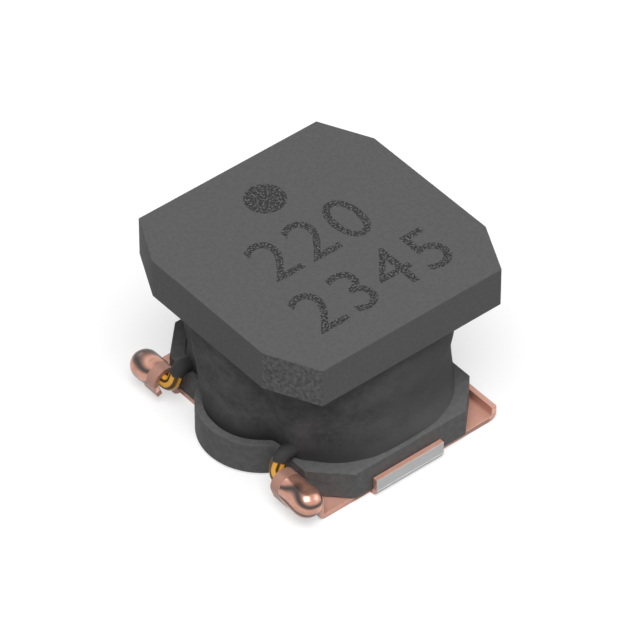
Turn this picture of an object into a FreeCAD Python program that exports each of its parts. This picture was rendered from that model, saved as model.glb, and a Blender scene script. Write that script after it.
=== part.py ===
import FreeCAD, Part
import math
import os

V = FreeCAD.Vector

# Surface-mount power inductor, in millimetres. The origin is the middle of the
# footprint on the board plane, +Z is up, X runs along the marking and Y across it.
# The two solder clips mirror each other about the plane Y = 0, "start" at -Y and
# "finish" at +Y. Both wire ends leave at the -X end.

# Ferrite drum core
flange_length_x = 6.0        # upper flange
flange_length_y = 6.0
flange_thickness = 1.0
flange_chamfer_x = 0.6       # its cut corners
flange_chamfer_y = 1.2
edge_break = 0.03            # tumbled rim of the upper flange
window_height = 2.5          # between the two flanges
post_radius = 1.15
foot_length_x = 4.5          # lower flange, without its round ends
foot_length_y = 6.0
foot_thickness = 0.70
foot_chamfer = 0.75
lobe_radius = 1.43           # round ends of the lower flange
lobe_centre_x = 1.55
keel_half_width = 1.30       # thicker middle strip between the clips
keel_depth = 0.10

# Enamelled wire
wire_diameter = 0.34
turn_gap = 0.005             # between neighbouring turns
layers = 4
turn_shoulder = 0.03         # how far the ring is closed between two turns
lead_bend_radius = 0.20
lead_straight = 0.03         # straight wire before the hook
lead_run_in = 0.45           # straight wire over the lower flange
lead_gap = 0.01              # lead to core, where it lies over the edge
lead_overhang = 0.16         # from the core's side to where the lead falls

# Magnetic resin between the flanges
resin_radius = 2.86          # at both flanges
resin_waist_depth = 0.09     # how far its side draws in
resin_waist_rise = 1.00      # height of the waist above the lower flange
resin_side_margin = 0.05     # bare rim left along the sides of the lower flange
resin_lobe_margin = 0.14     # bare rim left round its ends
resin_root_radius = 1.00     # where its lower edge turns from side to round end
resin_flare = 0.40           # how much wider that outline is under the upper flange

# Sheet-metal solder clips
sheet = 0.13
bond_thickness = 0.02        # adhesive between clip and core
bond_margin = 0.10           # adhesive held back from the edges
fold_inner_radius = 0.06
keel_gap = 0.06              # plate to the thicker middle strip
plate_setback = 0.07         # plate to the outer side of the core
side_gap = 0.045             # folded ends to the side of the core
wall_top = 0.38              # folded end wall, height above the board
wall_notch = 0.14            # how much shorter than the plate the end wall is
tab_start_x = -1.05
tab_end_x = 0.78
tab_top = 0.49               # height above the board
hook_width = 1.00            # of the stem that carries the hook
hook_melted = 0.55           # end of the hook that is melted into the bead
hook_clearance = 0.015       # round the wire
hook_drop = 0.26             # hook's axis below the top of the lower flange
hook_wrap = 18.0             # degrees that the hook closes past upright
hook_lip = 0.27              # straight end of the hook

# Weld beads
bead_radius = 0.345
bead_sag = 0.03              # bead's axis below the hook's
bead_setback = {"start": 0.19, "finish": 0.33}

# Heights above the board
clip_gap = sheet + bond_thickness
foot_top = clip_gap + foot_thickness
window_top = foot_top + window_height
total_height = window_top + flange_thickness
hook_height = foot_top - hook_drop
bead_height = hook_height - bead_sag

# Places along Y
core_side_y = foot_length_y / 2
plate_inner_y = keel_half_width + keel_gap
plate_outer_y = core_side_y - plate_setback
hook_inner_y = plate_outer_y - hook_width
hook_outer_y = plate_outer_y - hook_melted
lead_y = hook_inner_y - lead_straight - lead_bend_radius
tab_inner_y = core_side_y + bond_thickness

# Places along X
core_side_x = foot_length_x / 2
fold_x = core_side_x + side_gap
hook_inner_radius = wire_diameter / 2 + hook_clearance
hook_middle_radius = hook_inner_radius + sheet / 2
hook_x = -(fold_x + sheet / 2 + hook_middle_radius)
lead_fall_x = -(core_side_x + lead_overhang)

# Winding and resin
wire_radius = wire_diameter / 2
turn_pitch = wire_diameter + turn_gap
turns_per_layer = int(window_height / turn_pitch)
layer_step = wire_diameter * math.sqrt(3) / 2
outer_turn_radius = post_radius + wire_radius + (layers - 1) * layer_step

ENDS = (("start", -1), ("finish", 1))
REACH = flange_length_x + flange_length_y   # longer than any piece, for cutting boxes


def box(x0, x1, y0, y1, z0, z1):
    """Box between two corners."""
    return Part.makeBox(x1 - x0, y1 - y0, z1 - z0, V(x0, y0, z0))


def prism(points, z0, z1):
    """Upright prism over a closed outline of (x, y) points."""
    outline = Part.makePolygon([V(x, y, z0) for x, y in points + points[:1]])
    return Part.Face(outline).extrude(V(0, 0, z1 - z0))


def chamfered_outline(length_x, length_y, chamfer_x, chamfer_y):
    """Corners of a rectangle about the origin, with its corners cut."""
    hx = length_x / 2
    hy = length_y / 2
    corner = [(hx - chamfer_x, hy), (hx, hy - chamfer_y)]
    right = corner + [(x, -y) for x, y in reversed(corner)]
    return right + [(-x, y) for x, y in reversed(right)]


def foot_plan(z0, z1, side_inset=0.0, lobe_inset=0.0):
    """Lower flange between two heights, drawn in along its sides and its round ends."""
    length_x = foot_length_x - 2 * side_inset
    length_y = foot_length_y - 2 * side_inset
    chamfer = foot_chamfer - side_inset * (2 - math.sqrt(2))
    plan = prism(chamfered_outline(length_x, length_y, chamfer, chamfer), z0, z1)
    for side in (-1, 1):
        centre = V(side * lobe_centre_x, 0, z0)
        plan = plan.fuse(Part.makeCylinder(lobe_radius - lobe_inset, z1 - z0, centre))
    return plan.removeSplitter()


def drum_core():
    """Upper flange, post and lower flange, pressed and sintered as one piece."""
    outline = chamfered_outline(
        flange_length_x, flange_length_y, flange_chamfer_x, flange_chamfer_y)
    upper = prism(outline, window_top, total_height)
    rim = [edge for edge in upper.Edges if edge.BoundBox.ZLength < flange_thickness / 2]
    upper = upper.makeFillet(edge_break, rim)
    post = Part.makeCylinder(post_radius, window_height, V(0, 0, foot_top))
    foot = foot_plan(clip_gap, foot_top)
    keel = foot_plan(clip_gap - keel_depth, clip_gap)
    strip = box(-REACH, REACH, -keel_half_width, keel_half_width, 0, clip_gap)
    return foot.fuse([keel.common(strip), post, upper]).removeSplitter()


def coil():
    """All the turns as one ring, the outer layer's turns standing out from it."""
    shoulder = outer_turn_radius + turn_shoulder
    bulge = outer_turn_radius + wire_radius
    band_top = foot_top + 1.5 * turn_pitch
    path = [
        Part.makeLine(V(post_radius, 0, foot_top), V(bulge, 0, foot_top)),
        Part.makeLine(V(bulge, 0, foot_top), V(bulge, 0, band_top))]
    start = V(bulge, 0, band_top)
    angle = math.acos((shoulder - outer_turn_radius) / wire_radius)
    bow_x = outer_turn_radius + wire_radius * math.cos(angle / 2)
    bow_z = math.sin(angle / 2) / math.sin(angle) * turn_pitch / 2
    end = V(shoulder, 0, band_top + turn_pitch / 2)
    path.append(Part.Arc(start, V(bow_x, 0, band_top + bow_z), end).toShape())
    for turn in range(2, turns_per_layer):
        low = foot_top + turn * turn_pitch
        high = low + turn_pitch
        crown = V(bulge, 0, low + turn_pitch / 2)
        path.append(Part.Arc(V(shoulder, 0, low), crown, V(shoulder, 0, high)).toShape())
    coil_top = foot_top + turns_per_layer * turn_pitch
    path.append(Part.makeLine(V(shoulder, 0, coil_top), V(post_radius, 0, coil_top)))
    path.append(Part.makeLine(V(post_radius, 0, coil_top), V(post_radius, 0, foot_top)))
    return Part.Face(Part.Wire(path)).revolve(V(0, 0, 0), V(0, 0, 1), 360)


def rounded_path(points, radius):
    """Straight runs joined by tangent arcs."""
    edges = []
    start = points[0]
    for before, corner, after in zip(points, points[1:], points[2:]):
        arriving = (corner - before).normalize()
        leaving = (after - corner).normalize()
        half_turn = arriving.getAngle(leaving) / 2
        reach = radius * math.tan(half_turn)
        bow = radius / math.cos(half_turn) - radius
        first = corner - arriving * reach
        last = corner + leaving * reach
        inside = (leaving - arriving).normalize()
        edges.append(Part.makeLine(start, first))
        edges.append(Part.Arc(first, corner + inside * bow, last).toShape())
        start = last
    edges.append(Part.makeLine(start, points[-1]))
    return Part.Wire(edges)


def bent_rod(points, radius, bend_radius):
    """Round rod of straight runs, with part of a torus at each turn."""
    pieces = []
    start = points[0]
    for before, corner, after in zip(points, points[1:], points[2:]):
        arriving = (corner - before).normalize()
        leaving = (after - corner).normalize()
        turn = arriving.getAngle(leaving)
        reach = bend_radius * math.tan(turn / 2)
        axis = arriving.cross(leaving).normalize()
        first = corner - arriving * reach
        centre = first + axis.cross(arriving) * bend_radius
        pieces.append(Part.makeCylinder(radius, first.distanceToPoint(start), start, arriving))
        section = Part.Face(Part.Wire(Part.makeCircle(radius, first, arriving)))
        pieces.append(section.revolve(centre, axis, math.degrees(turn)))
        start = corner + leaving * reach
    last_run = points[-1] - start
    pieces.append(Part.makeCylinder(radius, last_run.Length, start, last_run))
    return pieces[0].fuse(pieces[1:])


def lead(side):
    """Wire end: out over the lower flange, down past its side and into the hook."""
    height = foot_top + lead_gap + wire_radius
    turn_out = V(lead_run_in - core_side_x, side * lead_y, height)
    from_axis = V(turn_out.x, turn_out.y, 0)
    root = turn_out - from_axis * (1 - outer_turn_radius / from_axis.Length)
    points = [
        root,
        turn_out,
        V(lead_fall_x, side * lead_y, height),
        V(hook_x, side * lead_y, hook_height),
        V(hook_x, side * hook_outer_y, hook_height)]
    return bent_rod(points, wire_radius, lead_bend_radius)


def winding():
    """Enamelled wire: the coil with its two leads."""
    return coil().fuse([lead(side) for _, side in ENDS]).removeSplitter()


def lobe_roots(plan):
    """The four upright edges where the round ends leave the straight sides."""
    upright = [edge for edge in plan.Edges if edge.BoundBox.ZLength > window_height / 2]
    upright.sort(key=lambda edge: abs(edge.BoundBox.Center.y))
    return upright[:4]


def resin_outline(flare, z):
    """Outline that holds the resin's lower edge on the lower flange, and its flare."""
    plan = foot_plan(
        foot_top, window_top, resin_side_margin - flare, resin_lobe_margin - flare)
    plan = plan.makeFillet(resin_root_radius, lobe_roots(plan))
    bottom = min(plan.Faces, key=lambda face: face.CenterOfMass.z)
    wire = bottom.OuterWire.copy()
    wire.translate(V(0, 0, z - foot_top))
    return wire


def magnetic_resin(core, wire):
    """Resin that fills the window round the coil and keeps off the flange's rim."""
    waist = resin_radius - resin_waist_depth
    side = Part.Arc(
        V(resin_radius, 0, foot_top),
        V(waist, 0, foot_top + resin_waist_rise),
        V(resin_radius, 0, window_top)).toShape()
    section = Part.Wire([
        side,
        Part.makeLine(V(resin_radius, 0, window_top), V(0, 0, window_top)),
        Part.makeLine(V(0, 0, window_top), V(0, 0, foot_top)),
        Part.makeLine(V(0, 0, foot_top), V(resin_radius, 0, foot_top))])
    fill = Part.Face(section).revolve(V(0, 0, 0), V(0, 0, 1), 360)
    outlines = [resin_outline(0, foot_top), resin_outline(resin_flare, window_top)]
    return fill.common(Part.makeLoft(outlines, True, True)).cut([core, wire])


def bent_sheet(corners, path):
    """Sheet metal swept along its middle line from the four corners of its start."""
    start = Part.makePolygon(corners + corners[:1])
    return path.makePipeShell([start], True, False)


def folded_end(side, y0, y1, top):
    """Strip of the plate that turns up beside the core at one end along X."""
    x0 = side * (core_side_x - fold_inner_radius)
    x1 = side * (fold_x + sheet / 2)
    middle = sheet / 2
    corners = [V(x0, y0, 0), V(x0, y1, 0), V(x0, y1, sheet), V(x0, y0, sheet)]
    points = [V(x0, y0, middle), V(x1, y0, middle), V(x1, y0, top)]
    return bent_sheet(corners, rounded_path(points, fold_inner_radius + middle))


def tab():
    """Strip of the plate that turns up beside the core along Y."""
    y0 = plate_outer_y - fold_inner_radius
    y1 = tab_inner_y + sheet / 2
    middle = sheet / 2
    corners = [
        V(tab_start_x, y0, 0), V(tab_end_x, y0, 0),
        V(tab_end_x, y0, sheet), V(tab_start_x, y0, sheet)]
    points = [V(0, y0, middle), V(0, y1, middle), V(0, y1, tab_top)]
    return bent_sheet(corners, rounded_path(points, fold_inner_radius + middle))


def hook_point(angle):
    """Point on the hook's middle line, at an angle from +X about the wire."""
    turn = math.radians(angle)
    x = hook_x + hook_middle_radius * math.cos(turn)
    z = hook_height + hook_middle_radius * math.sin(turn)
    return V(x, hook_inner_y, z)


def hook():
    """Strip that closes over the wire from the top of the stem."""
    end_angle = 180 + hook_wrap
    end = hook_point(end_angle)
    wrap = math.radians(hook_wrap)
    tip = end + V(math.sin(wrap), 0, -math.cos(wrap)) * hook_lip
    over = Part.Arc(hook_point(0), hook_point(end_angle / 2), end).toShape()
    path = Part.Wire([over, Part.makeLine(end, tip)])
    outer_x = -fold_x - sheet
    corners = [
        V(outer_x, hook_inner_y, hook_height), V(-fold_x, hook_inner_y, hook_height),
        V(-fold_x, hook_outer_y, hook_height), V(outer_x, hook_outer_y, hook_height)]
    return bent_sheet(corners, path)


def finish_clip():
    """Solder clip at +Y: plate, end wall, side tab and hook, stamped from one sheet."""
    plate = box(-core_side_x, core_side_x, plate_inner_y, plate_outer_y, 0, sheet)
    wall = folded_end(1, plate_inner_y + wall_notch, plate_outer_y, wall_top)
    stem = folded_end(-1, hook_inner_y, plate_outer_y, hook_height)
    return plate.fuse([wall, stem, tab(), hook()]).removeSplitter()


def finish_bond():
    """Adhesive film between the finish clip and the core."""
    inner = plate_inner_y + bond_margin
    outer = plate_outer_y - bond_margin
    patch = box(-REACH, REACH, inner, outer, sheet, clip_gap)
    return foot_plan(sheet, clip_gap, bond_margin, bond_margin).common(patch)


def finish_bead(clip, setback):
    """Bead melted from the end of the hook and the wire inside it."""
    centre_y = plate_outer_y - setback
    tip = V(0, centre_y + bead_radius, 0)
    rim = V(-bead_radius, centre_y, 0)
    start = V(-bead_radius, hook_outer_y, 0)
    diagonal = bead_radius / math.sqrt(2)
    section = Part.Wire([
        Part.makeLine(V(0, hook_outer_y, 0), start),
        Part.makeLine(start, rim),
        Part.Arc(rim, V(-diagonal, centre_y + diagonal, 0), tip).toShape(),
        Part.makeLine(tip, V(0, hook_outer_y, 0))])
    bead = Part.Face(section).revolve(V(0, 0, 0), V(0, 1, 0), 360)
    bead.translate(V(hook_x, 0, bead_height))
    behind_stem = box(-fold_x, REACH, 0, REACH, 0, REACH)
    return bead.cut([clip, behind_stem]).removeSplitter()


def mirrored(shape, side):
    """The shape for one side, from the one that was made at +Y."""
    return shape if side > 0 else shape.mirror(V(0, 0, 0), V(0, 1, 0))


def build():
    """All the pieces by name."""
    core = drum_core()
    wire = winding()
    pieces = {
        "drum_core": core,
        "winding": wire,
        "magnetic_resin": magnetic_resin(core, wire)}
    clip = finish_clip()
    bond = finish_bond()
    for name, side in ENDS:
        bead = finish_bead(clip, bead_setback[name])
        pieces["terminal_" + name] = mirrored(clip, side)
        pieces["bond_" + name] = mirrored(bond, side)
        pieces["weld_bead_" + name] = mirrored(bead, side)
    return pieces


os.makedirs("parts", exist_ok=True)
for node, solid in build().items():
    solid.exportStep(f"parts/{node}.step")
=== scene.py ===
import math

import bmesh
import bpy
from mathutils import Matrix, Vector, noise


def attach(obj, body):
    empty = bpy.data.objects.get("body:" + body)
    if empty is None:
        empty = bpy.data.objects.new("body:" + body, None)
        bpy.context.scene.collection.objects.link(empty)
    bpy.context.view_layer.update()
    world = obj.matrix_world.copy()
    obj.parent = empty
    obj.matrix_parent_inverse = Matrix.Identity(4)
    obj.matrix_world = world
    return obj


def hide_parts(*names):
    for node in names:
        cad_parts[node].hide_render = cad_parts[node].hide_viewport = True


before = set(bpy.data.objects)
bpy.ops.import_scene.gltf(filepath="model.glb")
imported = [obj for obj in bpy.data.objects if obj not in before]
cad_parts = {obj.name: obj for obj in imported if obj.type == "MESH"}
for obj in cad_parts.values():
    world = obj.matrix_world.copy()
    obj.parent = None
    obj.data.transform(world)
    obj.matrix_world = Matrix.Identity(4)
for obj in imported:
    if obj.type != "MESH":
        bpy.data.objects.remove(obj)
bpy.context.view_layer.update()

MM = 0.001

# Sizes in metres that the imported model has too
FLANGE_X = 6.0 * MM
FLANGE_Y = 6.0 * MM
FLANGE_CHAMFER_X = 0.6 * MM
FLANGE_CHAMFER_Y = 1.2 * MM
FOOT_X = 4.5 * MM
FOOT_Y = 6.0 * MM
FOOT_CHAMFER = 0.75 * MM
LOBE_RADIUS = 1.43 * MM
LOBE_CENTRE = 1.55 * MM
KEEL_HALF_WIDTH = 1.30 * MM
KEEL_DEPTH = 0.10 * MM
POST_RADIUS = 1.15 * MM
FOOT_BOTTOM = 0.15 * MM
FOOT_TOP = 0.85 * MM
WINDOW_TOP = 3.35 * MM
HEIGHT = 4.35 * MM
WIRE_RADIUS = 0.17 * MM
TURN_PITCH = 0.345 * MM
LAYER_STEP = 0.2944 * MM
OUTER_TURN_RADIUS = 2.2033 * MM
LEAD_Y = 1.70 * MM
LEAD_BEND = 0.20 * MM
LEAD_TURN_X = -1.80 * MM
LEAD_FALL_X = -2.41 * MM
LEAD_HEIGHT = 1.03 * MM
SHEET = 0.13 * MM
FOLD_RADIUS = 0.06 * MM
PLATE_INNER_Y = 1.36 * MM
PLATE_OUTER_Y = 2.93 * MM
WALL_INNER_Y = 1.50 * MM
WALL_TOP = 0.38 * MM
WALL_X = 2.295 * MM
TAB_START_X = -1.05 * MM
TAB_END_X = 0.78 * MM
TAB_Y = 3.02 * MM
TAB_TOP = 0.49 * MM
HOOK_X = -2.61 * MM
HOOK_HEIGHT = 0.59 * MM
HOOK_INNER_Y = 1.93 * MM
HOOK_OUTER_Y = 2.38 * MM
HOOK_TURN = math.radians(198)
HOOK_LIP = 0.27 * MM
HOOK_SHEET_RADIUS = 0.25 * MM
BEAD_RADIUS = 0.345 * MM
BEAD_HEIGHT = 0.56 * MM
BEAD_CENTRE_Y = {"start": 2.74 * MM, "finish": 2.60 * MM}
RESIN_RADIUS = 2.86 * MM
RESIN_FLARE = 0.40 * MM
SIDES = {"start": -1, "finish": 1}

# Sizes in metres of what only the scene has
FLANGE_EDGE = 0.014 * MM
SHEET_EDGE = 0.012 * MM
FOLD_MARGIN = 0.01 * MM
POST_OVERLAP = 0.10 * MM
LEAD_BARE_LENGTH = 1.01 * MM
LEAD_PAST_HOOK = 0.10 * MM
RESIN_INNER_RADIUS = 2.36 * MM
RESIN_WAIST = 2.765 * MM
RESIN_WAIST_HEIGHT = 1.62 * MM
RESIN_BELLY_HEIGHT = 2.40 * MM
RESIN_FOOT_RADIUS = 2.975 * MM
RESIN_FILLET = 0.45 * MM
RESIN_SIDE_MARGIN = 0.09 * MM
RESIN_LOBE_MARGIN = 0.17 * MM
RESIN_RIM_BLEND = 0.10 * MM
RESIN_LOBE_BLEND = 0.16 * MM
RESIN_RIPPLE = 0.006 * MM
RESIN_RIPPLE_PITCH = 0.55 * MM
BEAD_START_Y = 2.18 * MM
BEAD_MELT_RUN = 0.25 * MM
BEAD_LUMP_PITCH = 0.45 * MM
BEAD_LUMP_SHARE = 0.03
# Pitch of the painted dark reflection bands on the beads
REFLECTION_BAND_PITCH = 0.29 * MM
MARK_DEPTH = 0.003 * MM
DOT_RADIUS = 0.46 * MM
DOT_PLACE = (0.013 * MM, 1.79 * MM)
DIGIT_SIZE = 1.80 * MM
DIGIT_SPACING = 1.10

# Which material of the core a face has, where it isn't the first
COARSE_FERRITE = 1
# The lower flange and post have a lighter ferrite: painted light where the upper flange shades
# them, over a grain of their own
LOWER_FERRITE_PAINTED_LIGHT = 2

# How finely the meshes are made
CUT_DISTANCE = 0.0005 * MM
MERGE_DISTANCE = 0.001 * MM
GLYPH_MERGE_DISTANCE = 0.0001 * MM
TINY = 1e-6
SHARP_ANGLE = math.radians(35)
COIL_STEPS_PER_TURN = 30
RESIN_ROWS = 28
BEAD_CAP_STEPS = 14

# Floor, light and camera, which was fitted to the part's corners in the photograph
FLOOR_GAP = 0.002 * MM
FLOOR_SIZE = 0.6
FLOOR_GREY = 0.46
FLOOR_GLOW = 0.58
WORLD_LEVEL = 0.06
CAMERA_AZIMUTH = -39.6226
CAMERA_ELEVATION = 43.1218
CAMERA_PLACE = (-59.8133 * MM, -72.2666 * MM, 90.0271 * MM)
CAMERA_LENS = 345.07


# Finishes

class Finish:
    """A procedural material, put together node by node."""

    def __init__(self, name):
        self.material = bpy.data.materials.new(name)
        self.material.use_nodes = True
        self.nodes = self.material.node_tree.nodes
        self.links = self.material.node_tree.links
        self.shader = self.nodes["Principled BSDF"]
        self.place = self.nodes.new("ShaderNodeTexCoord").outputs["Object"]

    def set(self, **values):
        """Puts plain values on the shader's own sockets."""
        for name, value in values.items():
            self.shader.inputs[name.replace("_", " ")].default_value = value

    def node(self, kind, inputs=(), **settings):
        """A new node, with each input linked to a socket or set to a value."""
        made = self.nodes.new("ShaderNode" + kind)
        for name, value in settings.items():
            setattr(made, name, value)
        for name, value in dict(inputs).items():
            if isinstance(value, bpy.types.NodeSocket):
                self.links.new(value, made.inputs[name])
            else:
                made.inputs[name].default_value = value
        return made

    def noise(self, scale, detail, roughness=0.6):
        """Noise from 0 to 1, with its scale in features per millimetre."""
        inputs = {
            "Vector": self.place, "Scale": scale / MM,
            "Detail": detail, "Roughness": roughness}
        return self.node("TexNoise", inputs).outputs["Fac"]

    def stretch(self, value, low, high, new_low=0.0, new_high=1.0):
        """The value, stretched from one range to another and held inside it."""
        inputs = {
            "Value": value, "From Min": low, "From Max": high,
            "To Min": new_low, "To Max": new_high}
        return self.node("MapRange", inputs).outputs["Result"]

    def math(self, operation, a, b=0.0):
        return self.node("Math", {0: a, 1: b}, operation=operation).outputs[0]

    def mix(self, factor, a, b):
        """A colour or grey level that goes from a to b with a factor from 0 to 1."""
        made = self.node("Mix", data_type="RGBA")
        self.links.new(factor, made.inputs[0])
        for index, value in ((6, a), (7, b)):
            if isinstance(value, bpy.types.NodeSocket):
                self.links.new(value, made.inputs[index])
            else:
                made.inputs[index].default_value = (*tint(value), 1)
        return made.outputs[2]

    def colour(self, socket):
        self.links.new(socket, self.shader.inputs["Base Color"])

    def rough(self, socket):
        self.links.new(socket, self.shader.inputs["Roughness"])

    def bump(self, height, depth, strength=1.0):
        """Relief whose full height is a depth in millimetres."""
        inputs = {"Height": height, "Distance": depth * MM, "Strength": strength}
        made = self.node("Bump", inputs)
        self.links.new(made.outputs["Normal"], self.shader.inputs["Normal"])


def tint(value):
    """A colour from one grey level, or the colour itself."""
    return (value,) * 3 if isinstance(value, (int, float)) else value


def sintered_ferrite(name, grey, scale, contrast, relief):
    """Dark grey ferrite with a pressed grain of one scale and contrast."""
    finish = Finish(name)
    grain = finish.noise(scale, 3)
    fine = finish.stretch(grain, 0.35, 0.65)
    finish.colour(finish.mix(fine, grey * (1 - contrast), grey * (1 + contrast)))
    finish.set(Roughness=0.6, Specular_IOR_Level=0.07)
    finish.bump(grain, relief)
    return finish.material


def shield_resin():
    """Nearly black moulding resin, mottled and a little rough, with painted shade just above the
    lower flange.
    """
    finish = Finish("shield_resin")
    blotch = finish.noise(2.4, 8, 0.72)
    spot = finish.stretch(finish.noise(9, 3), 0.45, 0.70, 0.0, 0.35)
    blotched = finish.mix(finish.stretch(blotch, 0.36, 0.64), 0.069, 0.123)
    spotted = finish.mix(spot, blotched, 0.135)
    even = finish.mix(finish.stretch(blotch, 0.30, 0.70), 0.084, 0.100)
    place = finish.node("SeparateXYZ", {"Vector": finish.place}).outputs
    # Painted shade: the mottled resin goes dark towards the lower flange
    above_painted_shade = finish.stretch(place["Z"], 0.95 * MM, 1.55 * MM)
    mottled = finish.mix(above_painted_shade, 0.042, spotted)
    off_leads = finish.stretch(place["X"], -1.4 * MM, 0.4 * MM)
    finish.colour(finish.mix(off_leads, mottled, even))
    finish.set(Roughness=0.80, Specular_IOR_Level=0.06)
    finish.bump(blotch, 0.03, 0.5)
    return finish.material


def clip_copper():
    """Satin copper of the clips' inner side and cut edges."""
    finish = Finish("clip_copper")
    rolled = finish.stretch(finish.noise(2.5, 4), 0.35, 0.65)
    bright = finish.mix(rolled, (0.64, 0.34, 0.26), (0.70, 0.39, 0.31))
    place = finish.node("SeparateXYZ", {"Vector": finish.place}).outputs
    cool = finish.stretch(place["X"], -2.60 * MM, -2.30 * MM)
    finish.colour(finish.mix(cool, (0.43, 0.23, 0.175), bright))
    finish.set(Metallic=0.35, Roughness=0.45)
    finish.bump(finish.noise(18, 2), 0.004, 0.3)
    return finish.material


def clip_tin():
    """Dull tin plate on the clips' solder side."""
    finish = Finish("clip_tin")
    frost = finish.stretch(finish.noise(5, 5), 0.35, 0.65)
    finish.colour(finish.mix(frost, 0.62, 0.65))
    finish.set(Roughness=0.8, Specular_IOR_Level=0.05)
    finish.bump(finish.noise(22, 2), 0.004, 0.4)
    return finish.material


def melted_copper():
    """Melted copper with wandering bands of painted dark reflection along the bead."""
    finish = Finish("melted_copper")
    place = finish.node("SeparateXYZ", {"Vector": finish.place}).outputs
    # Painted reflection: dark bands run along the bead at heights that wander, and clear marks
    # the copper between them
    wander = finish.stretch(finish.noise(1.5, 0), 0.2, 0.8, -0.15 * MM, 0.15 * MM)
    height = finish.math("ADD", place["Z"], wander)
    turn = finish.math("MULTIPLY", height, 2 * math.pi / REFLECTION_BAND_PITCH)
    clear = finish.stretch(finish.math("SINE", turn), -1.0, 0.25)
    heat = finish.stretch(finish.noise(2.2, 3), 0.35, 0.65)
    copper = finish.mix(heat, (0.52, 0.26, 0.19), (0.72, 0.38, 0.29))
    finish.colour(finish.mix(clear, (0.075, 0.062, 0.058), copper))
    finish.set(Metallic=0.7, Roughness=0.25)
    finish.bump(finish.noise(2.0, 0), 0.10, 0.6)
    return finish.material


def enamelled_wire():
    """Amber enamel with dark bands of painted reflection near the wire's ends, and resin over it
    further in.
    """
    finish = Finish("enamelled_wire")
    around = finish.node("Attribute", attribute_name="wire_place").outputs["Vector"]
    place = finish.node("SeparateXYZ", {"Vector": around}).outputs
    # Painted reflection: dark bands run along the wire, at angles round it that wander
    angle = finish.math("ARCTAN2", place["Y"], place["X"])
    uneven = finish.node("TexNoise", {"Vector": around, "Scale": 1.3, "Detail": 1.0})
    swing = finish.math("MULTIPLY", uneven.outputs["Fac"], 7.0)
    turn = finish.math("ADD", finish.math("MULTIPLY", angle, 6.0), swing)
    reflection_bands = finish.stretch(finish.math("SINE", turn), -0.75, 0.15)
    amber = finish.mix(reflection_bands, (0.085, 0.045, 0.012), (0.86, 0.44, 0.065))
    wander = finish.stretch(finish.noise(4, 2), 0.3, 0.7, -0.06 * MM, 0.06 * MM)
    along = finish.math("ADD", place["Z"], wander)
    coated = finish.stretch(along, LEAD_BARE_LENGTH, LEAD_BARE_LENGTH + 0.03 * MM)
    finish.colour(finish.mix(coated, amber, 0.042))
    finish.rough(finish.stretch(coated, 0, 1, 0.24, 0.70))
    finish.set(Specular_IOR_Level=0.25)
    return finish.material


def adhesive_film():
    """Dark cured epoxy."""
    finish = Finish("adhesive_film")
    finish.colour(finish.mix(finish.noise(4, 3), 0.05, 0.08))
    finish.set(Roughness=0.5)
    return finish.material


def etched_mark():
    """Laser-etched marking: a dark broken net over the ferrite."""
    finish = Finish("etched_mark")
    net = finish.noise(23, 2, 0.5)
    finish.colour(finish.mix(finish.stretch(net, 0.46, 0.72), 0.020, 0.17))
    finish.set(Roughness=0.75, Specular_IOR_Level=0.2)
    finish.bump(net, 0.02, 0.6)
    return finish.material


# Mesh tools

def ease(share):
    """Rises smoothly from 0 to 1."""
    share = min(max(share, 0.0), 1.0)
    return share * share * (3 - 2 * share)


def verts_of(geometry):
    return [item for item in geometry if isinstance(item, bmesh.types.BMVert)]


def faces_of(geometry):
    return [item for item in geometry if isinstance(item, bmesh.types.BMFace)]


def draw_out(bm, faces, step):
    """Pulls faces out by a step, with walls behind them."""
    grown = bmesh.ops.extrude_face_region(bm, geom=faces)["geom"]
    bmesh.ops.translate(bm, verts=verts_of(grown), vec=step)
    return faces_of(grown)


def fold(bm, faces, centre, axis, angle, steps=8):
    """Turns faces round an axis, with the bent sheet behind them."""
    turned = bmesh.ops.spin(
        bm, geom=faces, cent=centre, axis=axis, dvec=(0, 0, 0),
        angle=angle, steps=steps, use_duplicate=False)
    return faces_of(turned["geom_last"])


def faces_towards(bm, direction, low, high):
    """Faces that look along a direction and have their middles in a box."""
    bm.normal_update()
    found = []
    for face in bm.faces:
        middle = face.calc_center_median()
        inside = all(a < value < b for a, value, b in zip(low, middle, high))
        if inside and face.normal.dot(Vector(direction)) > 0.9:
            found.append(face)
    return found


def slice_mesh(bm, point, normal):
    """Cuts every face along a plane."""
    geometry = [*bm.verts, *bm.edges, *bm.faces]
    bmesh.ops.bisect_plane(
        bm, geom=geometry, dist=CUT_DISTANCE, plane_co=point, plane_no=normal)


def outline_prism(bm, corners, bottom, top):
    """Closed prism over an outline of corners."""
    ring = [bm.verts.new((x, y, bottom)) for x, y in corners]
    base = bmesh.ops.contextual_create(bm, geom=ring)["faces"][0]
    copy = bmesh.ops.extrude_face_region(bm, geom=[base], use_keep_orig=True)["geom"]
    bmesh.ops.translate(bm, verts=verts_of(copy), vec=(0, 0, top - bottom))


def add_piece(name, bm, materials, nodes=(), edge=0.0):
    """The finished mesh as a piece on the root body, with its materials, and with its CAD nodes
    hidden.
    """
    bmesh.ops.recalc_face_normals(bm, faces=bm.faces)
    mesh = bpy.data.meshes.new(name)
    bm.to_mesh(mesh)
    bm.free()
    for material in materials:
        mesh.materials.append(material)
    mesh.shade_smooth()
    piece = bpy.data.objects.new(name, mesh)
    bpy.context.scene.collection.objects.link(piece)
    if edge:
        bevel = piece.modifiers.new("worn_edges", "BEVEL")
        bevel.width = edge
        bevel.segments = 2
        bevel.limit_method = "ANGLE"
        bevel.angle_limit = SHARP_ANGLE
        bevel.harden_normals = True
    else:
        mesh.set_sharp_from_angle(angle=SHARP_ANGLE)
    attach(piece, "root")
    if nodes:
        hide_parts(*nodes)
    return piece


# Ferrite core

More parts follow.
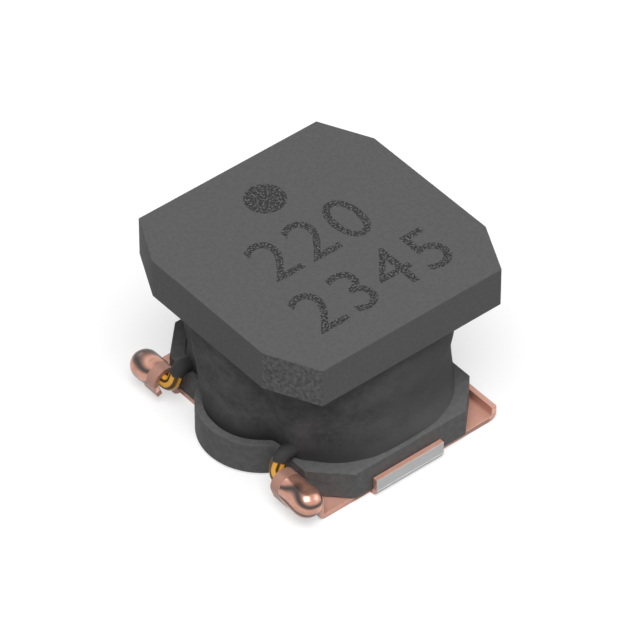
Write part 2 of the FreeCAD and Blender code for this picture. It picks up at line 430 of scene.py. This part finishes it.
def cut_corners(length_x, length_y, chamfer_x, chamfer_y):
    """Corners, anticlockwise, of a rectangle with its corners cut."""
    hx = length_x / 2
    hy = length_y / 2
    far = [
        (hx, hy - chamfer_y), (hx - chamfer_x, hy),
        (chamfer_x - hx, hy), (-hx, hy - chamfer_y)]
    return far + [(-x, -y) for x, y in far]


def round_end(bm, side):
    """Chain of points round one round end, from one straight side to the other."""
    reach = FOOT_X / 2 - LOBE_CENTRE
    root_y = math.sqrt(LOBE_RADIUS ** 2 - reach ** 2)
    first = bm.verts.new((side * FOOT_X / 2, -side * root_y, FOOT_BOTTOM))
    made = bmesh.ops.spin(
        bm, geom=[first], cent=(side * LOBE_CENTRE, 0, 0), axis=(0, 0, 1), dvec=(0, 0, 0),
        angle=2 * math.atan2(root_y, reach), steps=40, use_duplicate=False)
    return first, verts_of(made["geom_last"])[0]


def lower_flange(bm):
    """Lower flange with its round ends and its thicker middle strip."""
    start_right, end_right = round_end(bm, 1)
    start_left, end_left = round_end(bm, -1)
    corners = cut_corners(FOOT_X, FOOT_Y, FOOT_CHAMFER, FOOT_CHAMFER)
    ring = [bm.verts.new((x, y, FOOT_BOTTOM)) for x, y in corners]
    for run in ([end_right, *ring[:4], start_left], [end_left, *ring[4:], start_right]):
        for a, b in zip(run, run[1:]):
            bm.edges.new((a, b))
    base = bmesh.ops.contextual_create(bm, geom=list(bm.edges))["faces"][0]
    top = bmesh.ops.extrude_face_region(bm, geom=[base], use_keep_orig=True)["geom"]
    bmesh.ops.translate(bm, verts=verts_of(top), vec=(0, 0, FOOT_TOP - FOOT_BOTTOM))
    bmesh.ops.recalc_face_normals(bm, faces=bm.faces)
    down = (0, 0, -1)
    everywhere = (-FLANGE_X, -FLANGE_Y, -FLANGE_X), (FLANGE_X, FLANGE_Y, FOOT_TOP)
    for side in (-1, 1):
        under = faces_towards(bm, down, *everywhere)
        edges = {edge for face in under for edge in face.edges}
        points = {vert for face in under for vert in face.verts}
        bmesh.ops.bisect_plane(
            bm, geom=[*under, *edges, *points], dist=CUT_DISTANCE,
            plane_co=(0, side * KEEL_HALF_WIDTH, 0), plane_no=(0, 1, 0))
    middle = (-FLANGE_X, -KEEL_HALF_WIDTH, -FLANGE_X), (FLANGE_X, KEEL_HALF_WIDTH, FOOT_TOP)
    draw_out(bm, faces_towards(bm, down, *middle), (0, 0, -KEEL_DEPTH))


def ferrite_core(materials):
    """Upper flange, post and lower flange, with coarser grain on two cut corners."""
    bm = bmesh.new()
    lower_flange(bm)
    outline = cut_corners(FLANGE_X, FLANGE_Y, FLANGE_CHAMFER_X, FLANGE_CHAMFER_Y)
    outline_prism(bm, outline, WINDOW_TOP, HEIGHT - MARK_DEPTH)
    bmesh.ops.create_cone(
        bm, cap_ends=True, segments=64, radius1=POST_RADIUS, radius2=POST_RADIUS,
        depth=WINDOW_TOP - FOOT_TOP + 2 * POST_OVERLAP,
        matrix=Matrix.Translation((0, 0, (WINDOW_TOP + FOOT_TOP) / 2)))
    bmesh.ops.recalc_face_normals(bm, faces=bm.faces)
    for face in bm.faces:
        # Faces under the upper flange get the lighter ferrite, which is painted light
        if face.calc_center_median().z < WINDOW_TOP:
            face.material_index = LOWER_FERRITE_PAINTED_LIGHT
        elif face.normal.x * face.normal.y > 0.3:
            face.material_index = COARSE_FERRITE
    return add_piece("ferrite_core", bm, materials, ["drum_core"], FLANGE_EDGE)


# Magnetic resin

def smooth_least(a, b, width):
    """The smaller of two lengths, rounded where they are close."""
    share = max(width - abs(a - b), 0.0) / width
    return min(a, b) - share * share * width / 4


def rim_reach(x, y, margin, lobe_margin):
    """Distance from the axis to the lower flange's rim along a direction, less a margin."""
    x = abs(x)
    y = abs(y)
    side = (FOOT_X / 2 - margin) / max(x, TINY)
    end = (FOOT_Y / 2 - margin) / max(y, TINY)
    corner = (FOOT_X / 2 + FOOT_Y / 2 - FOOT_CHAMFER - margin * math.sqrt(2)) / (x + y)
    straight = min(side, end, corner)
    radius = LOBE_RADIUS - lobe_margin
    inside = radius ** 2 - (LOBE_CENTRE * y) ** 2
    if inside <= 0:
        return straight
    return -smooth_least(-straight, -(LOBE_CENTRE * x + math.sqrt(inside)), RESIN_LOBE_BLEND)


def resin_reach(direction, z):
    """Radius of the resin's outer side along a direction at a height."""
    if z < RESIN_WAIST_HEIGHT:
        share = ((RESIN_WAIST_HEIGHT - z) / (RESIN_WAIST_HEIGHT - FOOT_TOP)) ** 2
    else:
        share = ease((z - RESIN_WAIST_HEIGHT) / (RESIN_BELLY_HEIGHT - RESIN_WAIST_HEIGHT))
    round_side = RESIN_WAIST + (RESIN_RADIUS - RESIN_WAIST) * share
    # The fillet runs along the foot's straight sides and fades out towards its round ends
    on_side = ease((abs(direction.y) - 0.70) / 0.18)
    fillet = max(0.0, 1 - (z - FOOT_TOP) / RESIN_FILLET) ** 2 * on_side
    round_side += (RESIN_FOOT_RADIUS - RESIN_RADIUS) * fillet
    flare = RESIN_FLARE * (z - FOOT_TOP) / (WINDOW_TOP - FOOT_TOP)
    rim = rim_reach(
        direction.x, direction.y, RESIN_SIDE_MARGIN - flare, RESIN_LOBE_MARGIN - flare)
    return smooth_least(round_side, rim, RESIN_RIM_BLEND)


def resin_shield(material):
    """Ring of resin round the coil, drawn in where the lower flange is narrow."""
    bm = bmesh.new()
    chain = [bm.verts.new((RESIN_INNER_RADIUS, 0, FOOT_TOP))]
    for row in range(RESIN_ROWS + 1):
        z = FOOT_TOP + (WINDOW_TOP - FOOT_TOP) * row / RESIN_ROWS
        chain.append(bm.verts.new((RESIN_RADIUS, 0, z)))
    chain.append(bm.verts.new((RESIN_INNER_RADIUS, 0, WINDOW_TOP)))
    for a, b in zip(chain, chain[1:] + chain[:1]):
        bm.edges.new((a, b))
    bmesh.ops.spin(
        bm, geom=[*bm.verts, *bm.edges], cent=(0, 0, 0), axis=(0, 0, 1), dvec=(0, 0, 0),
        angle=2 * math.pi, steps=240, use_merge=True, use_duplicate=False)
    # Only the ring's outer side is shaped
    for vert in bm.verts:
        out = Vector((vert.co.x, vert.co.y, 0))
        if out.length > (RESIN_RADIUS + RESIN_INNER_RADIUS) / 2:
            direction = out.normalized()
            height = vert.co.z
            reach = resin_reach(direction, height)
            ripple = noise.noise(vert.co / RESIN_RIPPLE_PITCH) * RESIN_RIPPLE
            vert.co = direction * (reach + ripple - RESIN_RIPPLE)
            vert.co.z = height
    return add_piece("resin_shield", bm, [material], ["magnetic_resin"])


# Winding

def rounded(points, radius, steps=10):
    """Points along straight runs joined by tangent arcs."""
    path = [points[0]]
    for before, corner, after in zip(points, points[1:], points[2:]):
        arriving = (corner - before).normalized()
        leaving = (after - corner).normalized()
        turn = arriving.angle(leaving)
        axis = arriving.cross(leaving).normalized()
        first = corner - arriving * radius * math.tan(turn / 2)
        centre = first + axis.cross(arriving) * radius
        for step in range(steps + 1):
            swing = Matrix.Rotation(turn * step / steps, 3, axis)
            path.append(centre + swing @ (first - centre))
    path.append(points[-1])
    return path


def lead_path(side):
    """Wire end from the hook's end up over the lower flange to the coil's side."""
    out = Vector((LEAD_TURN_X, side * LEAD_Y, LEAD_HEIGHT))
    tangent_turn = math.acos(OUTER_TURN_RADIUS / out.xy.length)
    meet = side * (math.pi - math.atan2(LEAD_Y, -LEAD_TURN_X) - tangent_turn)
    touch = Vector((
        OUTER_TURN_RADIUS * math.cos(meet), OUTER_TURN_RADIUS * math.sin(meet), LEAD_HEIGHT))
    points = [
        Vector((HOOK_X, side * (HOOK_OUTER_Y + LEAD_PAST_HOOK), HOOK_HEIGHT)),
        Vector((HOOK_X, side * LEAD_Y, HOOK_HEIGHT)),
        Vector((LEAD_FALL_X, side * LEAD_Y, LEAD_HEIGHT)),
        out,
        touch]
    return rounded(points, LEAD_BEND), meet


def coil_path(first_angle, last_angle):
    """Points of the turns: in to the post, then four layers up and down."""
    inner = OUTER_TURN_RADIUS - 3 * LAYER_STEP
    top = LEAD_HEIGHT + 6 * TURN_PITCH
    above = LEAD_HEIGHT + TURN_PITCH
    full = 2 * math.pi
    closing = ((last_angle - first_angle) / full) % 1
    # Each stop: turns made so far, radius, height
    stops = [
        (0.0, OUTER_TURN_RADIUS, LEAD_HEIGHT), (0.6, inner, LEAD_HEIGHT),
        (7.0, inner, top), (7.4, inner + LAYER_STEP, top),
        (12.6, inner + LAYER_STEP, above), (13.0, inner + 2 * LAYER_STEP, above),
        (18.2, inner + 2 * LAYER_STEP, top), (18.6, OUTER_TURN_RADIUS, top),
        (24.0 + closing - 0.35, OUTER_TURN_RADIUS, above),
        (24.0 + closing, OUTER_TURN_RADIUS, LEAD_HEIGHT)]
    points = []
    for (turn_a, radius_a, z_a), (turn_b, radius_b, z_b) in zip(stops, stops[1:]):
        steps = max(4, round((turn_b - turn_a) * COIL_STEPS_PER_TURN))
        for step in range(1, steps + 1):
            share = step / steps
            angle = first_angle + full * (turn_a + (turn_b - turn_a) * share)
            radius = radius_a + (radius_b - radius_a) * ease(share)
            # Long runs climb evenly, and the steps between them ease in and out
            rise = share if turn_b - turn_a > 1 else ease(share)
            height = z_a + (z_b - z_a) * rise
            points.append(Vector((radius * math.cos(angle), radius * math.sin(angle), height)))
    return points


def wire_tube(path):
    """Closed round tube along points, with each point's place round and along it."""
    bm = bmesh.new()
    place = bm.verts.layers.float_vector.new("wire_place")
    facing = (path[1] - path[0]).to_track_quat("Z", "Y").to_matrix().to_4x4()
    bmesh.ops.create_circle(
        bm, cap_ends=True, segments=16, radius=WIRE_RADIUS,
        matrix=Matrix.Translation(path[0]) @ facing)
    for vert in bm.verts:
        local = facing.inverted() @ (vert.co - path[0])
        vert[place] = (local.x / WIRE_RADIUS, local.y / WIRE_RADIUS, 0)
    lengths = [0.0]
    for a, b in zip(path, path[1:]):
        lengths.append(lengths[-1] + (b - a).length)
    ring = list(bm.edges)
    heading = (path[1] - path[0]).normalized()
    for index in range(1, len(path)):
        here = path[index]
        ahead = path[min(index + 1, len(path) - 1)]
        behind = path[index - 1]
        new_heading = (ahead - behind).normalized()
        swing = heading.rotation_difference(new_heading).to_matrix().to_4x4()
        move = Matrix.Translation(here) @ swing @ Matrix.Translation(-behind)
        grown = bmesh.ops.extrude_edge_only(bm, edges=ring)["geom"]
        corners = verts_of(grown)
        bmesh.ops.transform(bm, matrix=move, verts=corners)
        from_end = min(lengths[index], lengths[-1] - lengths[index])
        for vert in corners:
            vert[place].z = from_end
        corner_set = set(corners)
        ring = [
            item for item in grown
            if isinstance(item, bmesh.types.BMEdge) and set(item.verts) <= corner_set]
        heading = new_heading
    bmesh.ops.contextual_create(bm, geom=ring)
    return bm


def wire_winding(material):
    """The whole wire: start lead, four layers of turns and finish lead."""
    start_lead, start_angle = lead_path(SIDES["start"])
    finish_lead, finish_angle = lead_path(SIDES["finish"])
    path = start_lead + coil_path(start_angle, finish_angle) + finish_lead[::-1][1:]
    bm = wire_tube(path)
    return add_piece("wire_winding", bm, [material], ["winding"])


# Solder clips

def upright_fold(bm, faces, centre, axis, angle, top):
    """Bends a sheet's end upright and draws it out to a height, flat from just over the fold."""
    turned = fold(bm, faces, centre, axis, angle)
    straight = draw_out(bm, turned, (0, 0, FOLD_MARGIN))
    return draw_out(bm, straight, (0, 0, top - centre[2] - FOLD_MARGIN))


def is_solder_side(face):
    """Whether a face of the clip at +Y is on the tinned, outer side of the sheet."""
    x, y, z = face.calc_center_median()
    normal = face.normal
    from_hook_axis = math.hypot(x - HOOK_X, z - HOOK_HEIGHT)
    if z > HOOK_HEIGHT or x < HOOK_X:
        inward = Vector((HOOK_X - x, 0, HOOK_HEIGHT - z)).normalized()
        return normal.dot(inward) > 0.7 and from_hook_axis < HOOK_SHEET_RADIUS
    if x < -FOOT_X / 2:
        return abs(normal.y) < 0.5 and -normal.x - normal.z > 0.5
    if x > FOOT_X / 2:
        return abs(normal.y) < 0.5 and normal.x - normal.z > 0.5
    if y > PLATE_OUTER_Y:
        return abs(normal.x) < 0.5 and normal.y - normal.z > 0.5
    return normal.z < -0.5


def solder_clip(name, side, materials):
    """Plate with an end wall, a side tab, and a stem that ends in the hook."""
    bm = bmesh.new()
    bend = FOLD_RADIUS + SHEET
    flat_x = WALL_X - FOLD_RADIUS
    middle_y = (PLATE_INNER_Y + PLATE_OUTER_Y) / 2
    size = Matrix.Diagonal((2 * flat_x, PLATE_OUTER_Y - PLATE_INNER_Y, SHEET, 1))
    place = Matrix.Translation((0, middle_y, SHEET / 2))
    bmesh.ops.create_cube(bm, size=1, matrix=place @ size)
    for y in (WALL_INNER_Y, HOOK_INNER_Y, HOOK_OUTER_Y):
        slice_mesh(bm, (0, y, 0), (0, 1, 0))
    for x in (TAB_START_X, TAB_END_X):
        slice_mesh(bm, (x, 0, 0), (1, 0, 0))
    quarter = math.pi / 2
    # A distance that no face of the clip reaches
    far = FLANGE_X
    tab_faces = faces_towards(bm, (0, 1, 0), (TAB_START_X, 0, 0), (TAB_END_X, far, SHEET))
    flat_tab = draw_out(bm, tab_faces, (0, TAB_Y - FOLD_RADIUS - PLATE_OUTER_Y, 0))
    upright_fold(bm, flat_tab, (0, TAB_Y - FOLD_RADIUS, bend), (1, 0, 0), quarter, TAB_TOP)
    wall_faces = faces_towards(
        bm, (1, 0, 0), (TAB_END_X + FOLD_RADIUS, WALL_INNER_Y, 0), (far, far, far))
    upright_fold(bm, wall_faces, (flat_x, 0, bend), (0, 1, 0), -quarter, WALL_TOP)
    stem_faces = faces_towards(
        bm, (-1, 0, 0), (-far, HOOK_INNER_Y, 0), (TAB_START_X - FOLD_RADIUS, far, far))
    tops = upright_fold(bm, stem_faces, (-flat_x, 0, bend), (0, 1, 0), quarter, HOOK_HEIGHT)
    curl = [face for face in tops if face.calc_center_median().y < HOOK_OUTER_Y]
    tip = fold(bm, curl, (HOOK_X, 0, HOOK_HEIGHT), (0, 1, 0), -HOOK_TURN, 28)
    lean = HOOK_TURN - math.pi
    draw_out(bm, tip, (math.sin(lean) * HOOK_LIP, 0, -math.cos(lean) * HOOK_LIP))
    bmesh.ops.remove_doubles(bm, verts=bm.verts, dist=MERGE_DISTANCE)
    bmesh.ops.recalc_face_normals(bm, faces=bm.faces)
    for face in bm.faces:
        face.material_index = int(is_solder_side(face))
    bmesh.ops.scale(bm, vec=(1, side, 1), verts=bm.verts)
    nodes = ["terminal_" + name]
    return add_piece(
        "solder_clip_" + name, bm, materials, nodes, SHEET_EDGE)


# Weld beads

def weld_bead(name, side, material):
    """Ball of copper at the end of the hook, necked where it meets the hook."""
    bm = bmesh.new()
    centre_y = BEAD_CENTRE_Y[name]
    # Each point of the neck: radius, place along the wire
    neck = [
        (0.0, BEAD_START_Y + 0.06 * MM), (0.29 * MM, BEAD_START_Y + 0.02 * MM),
        (0.310 * MM, BEAD_START_Y), (0.326 * MM, BEAD_START_Y + 0.05 * MM),
        (0.338 * MM, BEAD_START_Y + 0.15 * MM), (BEAD_RADIUS, BEAD_START_Y + 0.28 * MM)]
    cap = []
    for step in range(BEAD_CAP_STEPS + 1):
        angle = math.pi / 2 * step / BEAD_CAP_STEPS
        cap.append((BEAD_RADIUS * math.cos(angle), centre_y + BEAD_RADIUS * math.sin(angle)))
    chain = [bm.verts.new((radius, y, 0)) for radius, y in neck + cap]
    edges = [bm.edges.new(pair) for pair in zip(chain, chain[1:])]
    bmesh.ops.spin(
        bm, geom=[*chain, *edges], cent=(0, 0, 0), axis=(0, 1, 0), dvec=(0, 0, 0),
        angle=2 * math.pi, steps=48, use_merge=True, use_duplicate=False)
    bmesh.ops.remove_doubles(bm, verts=bm.verts, dist=MERGE_DISTANCE)
    bmesh.ops.translate(bm, verts=bm.verts, vec=(HOOK_X, 0, BEAD_HEIGHT))
    for vert in bm.verts:
        seed = Vector((vert.co.x, side * vert.co.y, vert.co.z)) / BEAD_LUMP_PITCH
        middle = Vector((HOOK_X, vert.co.y, BEAD_HEIGHT))
        melted = ease((vert.co.y - BEAD_START_Y) / BEAD_MELT_RUN)
        lump = BEAD_LUMP_SHARE * noise.noise(seed) - BEAD_LUMP_SHARE / 2
        vert.co = middle + (vert.co - middle) * (1 + melted * lump)
        vert.co.z += (1 - melted) * (HOOK_HEIGHT - BEAD_HEIGHT)
        # Flat beside the core, so that it stays clear of it
        vert.co.x = min(vert.co.x, -WALL_X)
    bmesh.ops.scale(bm, vec=(1, side, 1), verts=bm.verts)
    node = "weld_bead_" + name
    return add_piece(node + "_melt", bm, [material], [node])


# Marking on the top face

def etched_text(name, text, centre_x, baseline, material):
    """One line of plain digits, as a thin mesh in the top face."""
    curve = bpy.data.curves.new(name, "FONT")
    curve.body = text
    curve.size = DIGIT_SIZE
    curve.space_character = DIGIT_SPACING
    curve.align_x = "CENTER"
    curve.extrude = MARK_DEPTH / 2
    curve.resolution_u = 6
    holder = bpy.data.objects.new(name + "_curve", curve)
    bpy.context.scene.collection.objects.link(holder)
    bpy.context.view_layer.update()
    mesh = bpy.data.meshes.new_from_object(holder)
    bpy.data.objects.remove(holder)
    bm = bmesh.new()
    bm.from_mesh(mesh)
    bmesh.ops.remove_doubles(bm, verts=bm.verts, dist=GLYPH_MERGE_DISTANCE)
    bmesh.ops.translate(
        bm, verts=bm.verts, vec=(centre_x, baseline, HEIGHT - MARK_DEPTH / 2))
    return add_piece(name, bm, [material])


def etched_dot(material):
    """Round mark beside the digits."""
    bm = bmesh.new()
    bmesh.ops.create_cone(
        bm, cap_ends=True, segments=64, radius1=DOT_RADIUS, radius2=DOT_RADIUS,
        depth=MARK_DEPTH, matrix=Matrix.Translation((*DOT_PLACE, HEIGHT - MARK_DEPTH / 2)))
    return add_piece("etched_dot", bm, [material])


# Stage

def bearing(azimuth, elevation):
    """Direction from the object, at an azimuth and an elevation in degrees."""
    a = math.radians(azimuth)
    e = math.radians(elevation)
    return Vector((math.sin(a) * math.cos(e), -math.cos(a) * math.cos(e), math.sin(e)))


def light_path_share(nodes, links):
    """1 for rays that see the background itself, 0 for rays that carry its light."""
    path = nodes.new("ShaderNodeLightPath")
    share = path.outputs["Is Camera Ray"]
    for name in ("Is Glossy Ray", "Is Transmission Ray"):
        add = nodes.new("ShaderNodeMath")
        add.operation = "MAXIMUM"
        links.new(share, add.inputs[0])
        links.new(path.outputs[name], add.inputs[1])
        share = add.outputs[0]
    return share


def set_world():
    """White surroundings that light the object at a lower level."""
    world = bpy.data.worlds.new("studio")
    bpy.context.scene.world = world
    world.use_nodes = True
    nodes = world.node_tree.nodes
    links = world.node_tree.links
    background = nodes["Background"]
    background.inputs["Color"].default_value = (1, 1, 1, 1)
    strength = nodes.new("ShaderNodeMapRange")
    strength.inputs["To Min"].default_value = WORLD_LEVEL
    strength.inputs["To Max"].default_value = 1.0
    links.new(light_path_share(nodes, links), strength.inputs["Value"])
    links.new(strength.outputs["Result"], background.inputs["Strength"])


def lay_floor():
    """White floor that keeps the object's shadow."""
    bm = bmesh.new()
    bmesh.ops.create_grid(
        bm, x_segments=1, y_segments=1, size=FLOOR_SIZE,
        matrix=Matrix.Translation((0, 0, -FLOOR_GAP)))
    mesh = bpy.data.meshes.new("floor")
    bm.to_mesh(mesh)
    bm.free()
    material = bpy.data.materials.new("floor_white")
    material.use_nodes = True
    nodes = material.node_tree.nodes
    links = material.node_tree.links
    shader = nodes["Principled BSDF"]
    shader.inputs["Base Color"].default_value = (FLOOR_GREY, FLOOR_GREY, FLOOR_GREY, 1)
    shader.inputs["Roughness"].default_value = 0.9
    shader.inputs["Specular IOR Level"].default_value = 0.0
    shader.inputs["Emission Color"].default_value = (1, 1, 1, 1)
    strength = nodes.new("ShaderNodeMath")
    strength.operation = "MULTIPLY"
    strength.inputs[1].default_value = FLOOR_GLOW
    links.new(light_path_share(nodes, links), strength.inputs[0])
    links.new(strength.outputs[0], shader.inputs["Emission Strength"])
    mesh.materials.append(material)
    floor = bpy.data.objects.new("floor", mesh)
    bpy.context.scene.collection.objects.link(floor)


def hang_lamp(name, azimuth, elevation, distance, size, power):
    """Square softbox aimed at the object."""
    lamp = bpy.data.lights.new(name, "AREA")
    lamp.size = size
    lamp.energy = power
    holder = bpy.data.objects.new(name, lamp)
    back = bearing(azimuth, elevation)
    holder.location = back * distance
    holder.rotation_euler = (-back).to_track_quat("-Z", "Y").to_euler()
    bpy.context.scene.collection.objects.link(holder)


def set_camera():
    """Camera at the photograph's angle."""
    camera = bpy.data.cameras.new("camera")
    camera.lens = CAMERA_LENS
    camera.sensor_width = 36.0
    camera.clip_start = 0.005
    camera.clip_end = 2.0
    holder = bpy.data.objects.new("camera", camera)
    back = bearing(CAMERA_AZIMUTH, CAMERA_ELEVATION)
    holder.location = CAMERA_PLACE
    holder.rotation_mode = "QUATERNION"
    holder.rotation_quaternion = (-back).to_track_quat("-Z", "Y")
    bpy.context.scene.collection.objects.link(holder)
    bpy.context.scene.camera = holder


# Pieces of the inductor

# The third ferrite is lighter than the first: painted light on the lower flange and post, with a
# grain of its own
ferrites = [
    sintered_ferrite("sintered_ferrite", grey=0.106, scale=12, contrast=0.065, relief=0.006),
    sintered_ferrite("coarse_ferrite", grey=0.118, scale=12, contrast=0.33, relief=0.02),
    sintered_ferrite("lower_ferrite_painted_light", grey=0.126, scale=7, contrast=0.11, relief=0.010)]
copper = clip_copper()
tin = clip_tin()
melt = melted_copper()
mark = etched_mark()
film = adhesive_film()

ferrite_core(ferrites)
resin_shield(shield_resin())
wire_winding(enamelled_wire())
for name, side in SIDES.items():
    solder_clip(name, side, [copper, tin])
    weld_bead(name, side, melt)
    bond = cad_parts["bond_" + name]
    bond.data.materials.clear()
    bond.data.materials.append(film)
etched_dot(mark)
etched_text("etched_value", "220", centre_x=-0.06 * MM, baseline=-0.38 * MM, material=mark)
etched_text("etched_number", "2345", centre_x=0.15 * MM, baseline=-2.16 * MM, material=mark)

# Studio round the inductor

set_world()
lay_floor()
hang_lamp("softbox_front", azimuth=-36, elevation=66, distance=0.30, size=0.20, power=0.99)
hang_lamp("softbox_left", azimuth=180, elevation=30, distance=0.35, size=0.20, power=0.15)
hang_lamp("softbox_right", azimuth=60, elevation=25, distance=0.35, size=0.20, power=0.18)
set_camera()
bpy.context.scene.view_settings.view_transform = "Standard"
